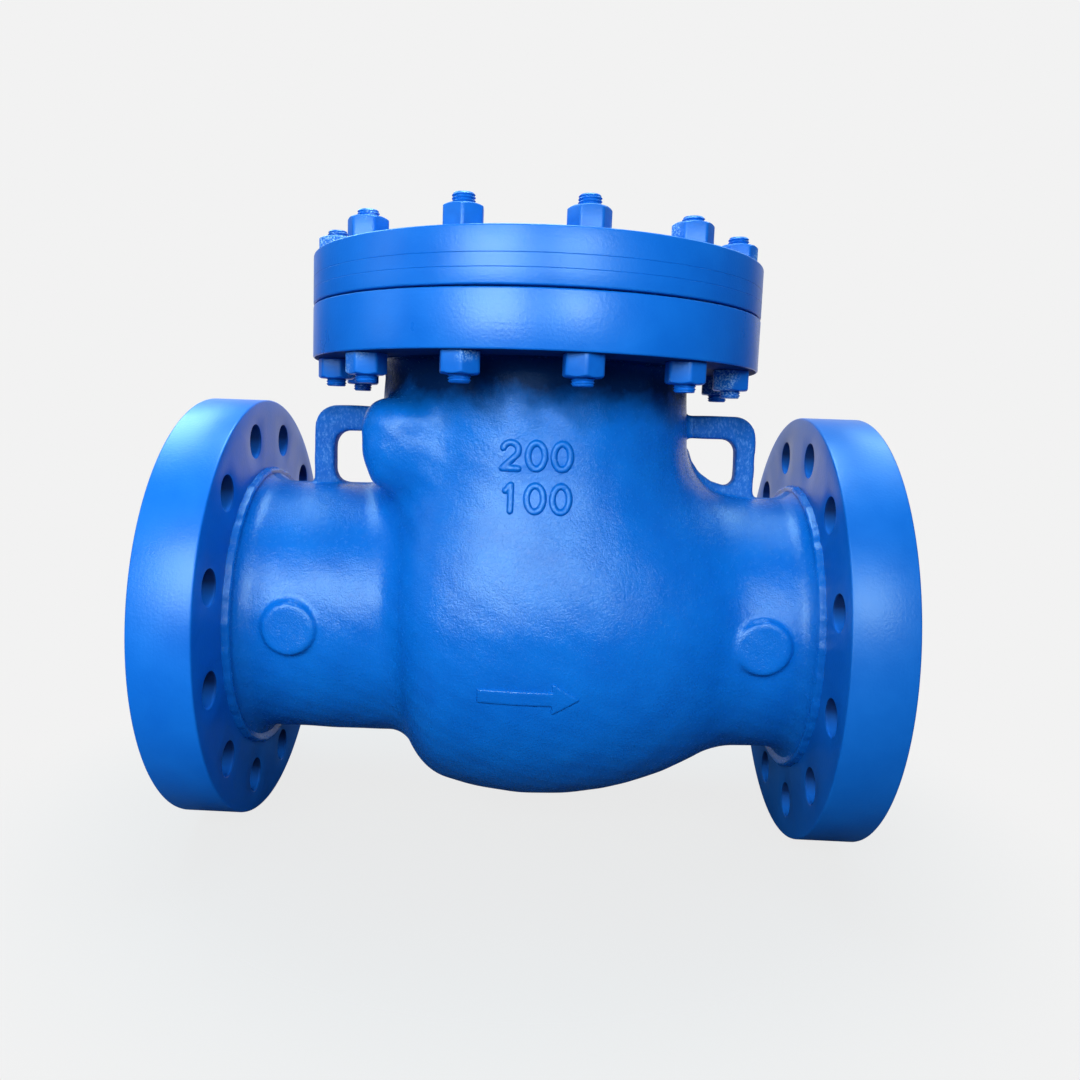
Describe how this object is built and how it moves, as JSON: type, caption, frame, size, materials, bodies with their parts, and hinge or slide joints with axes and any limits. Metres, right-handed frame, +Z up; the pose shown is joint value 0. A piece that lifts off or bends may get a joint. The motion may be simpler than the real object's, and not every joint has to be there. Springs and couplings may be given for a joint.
{
  "type": "swing check valve",
  "caption": "Flanged cast steel swing check valve with a bolted round cover, lifting eyes and a hinged disc that lets fluid pass one way only.",
  "frame": {"origin": "centre of the inlet's raised face, on the pipe axis", "axes": "+X along the flow from inlet to outlet, +Z up to the cover, +Y across, away from the domed pin boss"},
  "size_m": [0.66, 0.433, 0.5838],
  "materials": {
    "casting_paint": "semi-gloss blue enamel on sand-cast steel",
    "fastener_paint": "semi-gloss blue enamel on rolled steel",
    "gasket": "graphite-filled spiral winding",
    "trim_steel": "machined stainless steel",
    "clapper_steel": "cast steel with machined faces",
    "bush_bronze": "turned bronze"
  },
  "bodies": {
    "valve_body": {"body": "casting_paint", "seat_ring": "trim_steel", "cover": "casting_paint", "cover_gasket": "gasket", "cover_studs": "fastener_paint", "cover_nuts_upper": "fastener_paint", "cover_nuts_lower": "fastener_paint", "hinge_pin": "trim_steel", "hinge_pin_plug": "fastener_paint", "plug_gasket": "gasket"},
    "clapper": {"hinge_arm": "clapper_steel", "arm_bush_front": "bush_bronze", "arm_bush_rear": "bush_bronze"},
    "flap": {"disc": "clapper_steel", "disc_washer": "trim_steel", "disc_nut": "trim_steel", "disc_split_pin": "trim_steel"}
  },
  "joints": [
    {"name": "clapper_swing", "type": "hinge", "parent": "valve_body", "child": "clapper", "pos_m": [0.22, 0, 0.17], "axis": [0, -1, 0], "range_deg": [0, 52]},
    {"name": "disc_spin", "type": "hinge", "parent": "clapper", "child": "flap", "pos_m": [0.25, 0, 0], "axis": [0.9962, 0, 0.0872], "continuous": true}
  ]
}
